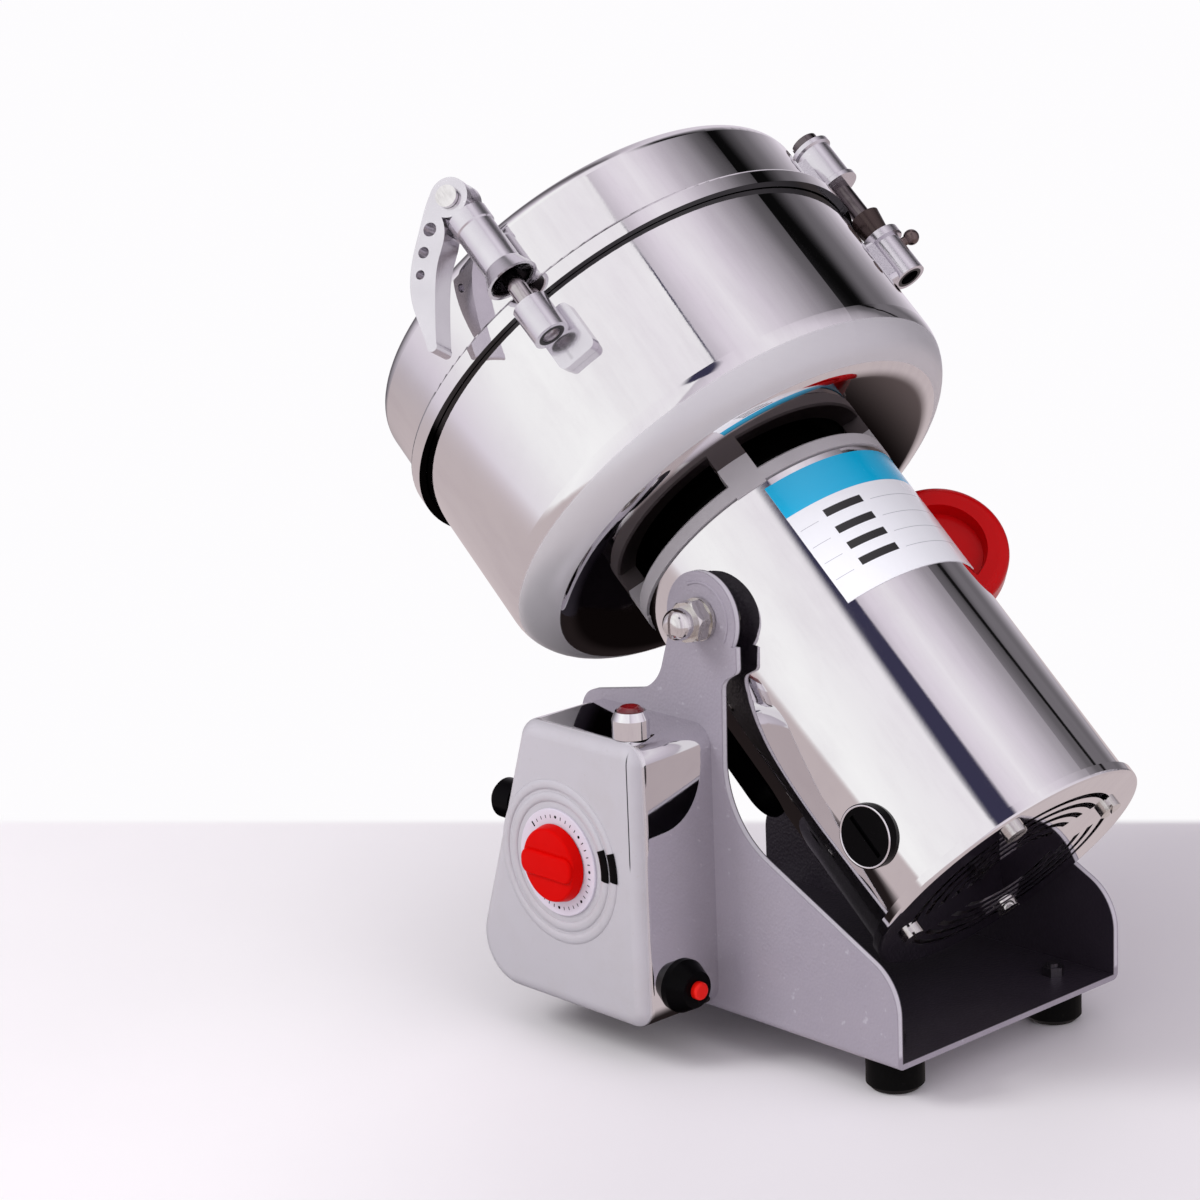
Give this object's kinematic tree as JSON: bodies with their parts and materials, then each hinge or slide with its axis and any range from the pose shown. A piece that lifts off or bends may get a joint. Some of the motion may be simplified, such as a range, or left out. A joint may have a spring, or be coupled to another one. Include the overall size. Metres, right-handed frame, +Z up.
{
  "type": "electric grain mill",
  "caption": "Tilting electric grain mill: polished bowl and clamped lid on a motor, hung in a folded base with a switch box and timer.",
  "frame": {"origin": "on the table under the middle of the mill's outline, at the undersides of the rubber feet", "axes": "+Z up; +X out of the open front of the base, towards which the motor's lower end leans; -Y towards the side that carries the switch box; the tilting axis is parallel to Y"},
  "size_m": [0.3332, 0.2318, 0.3576],
  "materials": {
    "base_paint": "fine pebbled light lavender-grey paint",
    "black_rubber": "matt black rubber",
    "zinc": "bright zinc plate",
    "steel": "turned and polished steel",
    "bush_nylon": "natural nylon",
    "box_chrome": "polished chrome plate",
    "trim_chrome": "bright plated trim",
    "black_plastic": "satin black moulding",
    "knob_red": "glossy red moulding",
    "button_red": "red push button",
    "lamp_red": "dark red translucent lens",
    "handle_red": "glossy red moulding",
    "mirror_steel": "mirror-polished stainless steel",
    "cast_aluminium": "grey die cast",
    "clamp_aluminium": "pale tumbled casting",
    "dark_collar": "dark sleeve",
    "label": "white foil with a blue band, no lettering",
    "lamination": "varnished laminations",
    "copper": "enamelled copper",
    "carbon": "carbon",
    "fan_plastic": "black nylon",
    "blade_steel": "ground stainless steel"
  },
  "bodies": {
    "base": {"base_frame": "base_paint", "rubber_feet": "black_rubber", "foot_screws": "zinc", "pivot_bushes": "bush_nylon", "switch_box": "box_chrome", "box_screws": "zinc", "timer_bezel": "trim_chrome", "timer_switch": "black_plastic", "timer_nut": "zinc", "lamp_bezel": "trim_chrome", "lamp_lens": "lamp_red", "breaker_body": "black_plastic", "fuse_holder": "black_plastic"},
    "head": {"pivot_blocks": "steel", "pivot_washers": "zinc", "pivot_nuts": "zinc", "pivot_bolts": "steel", "motor_tube": "mirror_steel", "motor_flange": "cast_aluminium", "neck_collar": "black_rubber", "bearings": "steel", "rear_bracket": "cast_aluminium", "end_plate": "mirror_steel", "end_screws": "zinc", "stator_core": "lamination", "field_coils": "copper", "brush_holders": "black_plastic", "carbon_brushes": "carbon", "brush_caps": "black_plastic", "label_plate": "label", "handle": "handle_red", "handle_screws": "zinc", "lead_boot": "black_plastic", "bowl": "mirror_steel", "bowl_screws": "zinc", "shaft_seal": "black_rubber", "clamp_lug": "clamp_aluminium", "post_lug": "clamp_aluminium", "set_screw": "zinc"},
    "spindle": {"rotor_shaft": "steel", "rotor_core": "lamination", "rotor_windings": "copper", "commutator": "copper", "cooling_fan": "fan_plastic", "blade_hub": "blade_steel", "blades": "blade_steel", "blade_spacer": "blade_steel", "blade_nut": "blade_steel"},
    "lid": {"lid": "mirror_steel", "lid_seal": "black_rubber", "clamp_barrel": "clamp_aluminium", "clamp_rod": "steel", "lever_pin": "steel", "post_collar": "dark_collar", "post_barrel": "clamp_aluminium", "lid_post": "steel"},
    "lever": {"clamp_lever": "clamp_aluminium"},
    "knob": {"timer_knob": "knob_red", "timer_shaft": "steel"},
    "button": {"reset_button": "button_red"}
  },
  "joints": [
    {"name": "head_tilt", "type": "hinge", "parent": "base", "child": "head", "pos_m": [0.028, 0.0089, 0.177], "axis": [0, 1, 0], "range_deg": [-15, 48]},
    {"name": "spindle_spin", "type": "hinge", "parent": "head", "child": "spindle", "pos_m": [0.02365, 0.0089, 0.17217], "axis": [-0.7431, 0, 0.6691], "continuous": true},
    {"name": "lid_lift", "type": "slide", "parent": "head", "child": "lid", "axis": [-0.7431, 0, 0.6691], "range_m": [0, 0.06]},
    {"name": "lever_swing", "type": "hinge", "parent": "lid", "child": "lever", "pos_m": [-0.06907, -0.08847, 0.33595], "axis": [-0.3496, 0.8526, -0.3883], "range_deg": [0, 100]},
    {"name": "timer_turn", "type": "hinge", "parent": "base", "child": "knob", "pos_m": [-0.0146, -0.0981, 0.079], "axis": [0, 1, 0], "range_deg": [0, 270]},
    {"name": "button_press", "type": "slide", "parent": "base", "child": "button", "axis": [-1, 0, 0], "range_m": [0, 0.002], "stiffness_N_per_m": 600, "springref_m": -0.001}
  ]
}
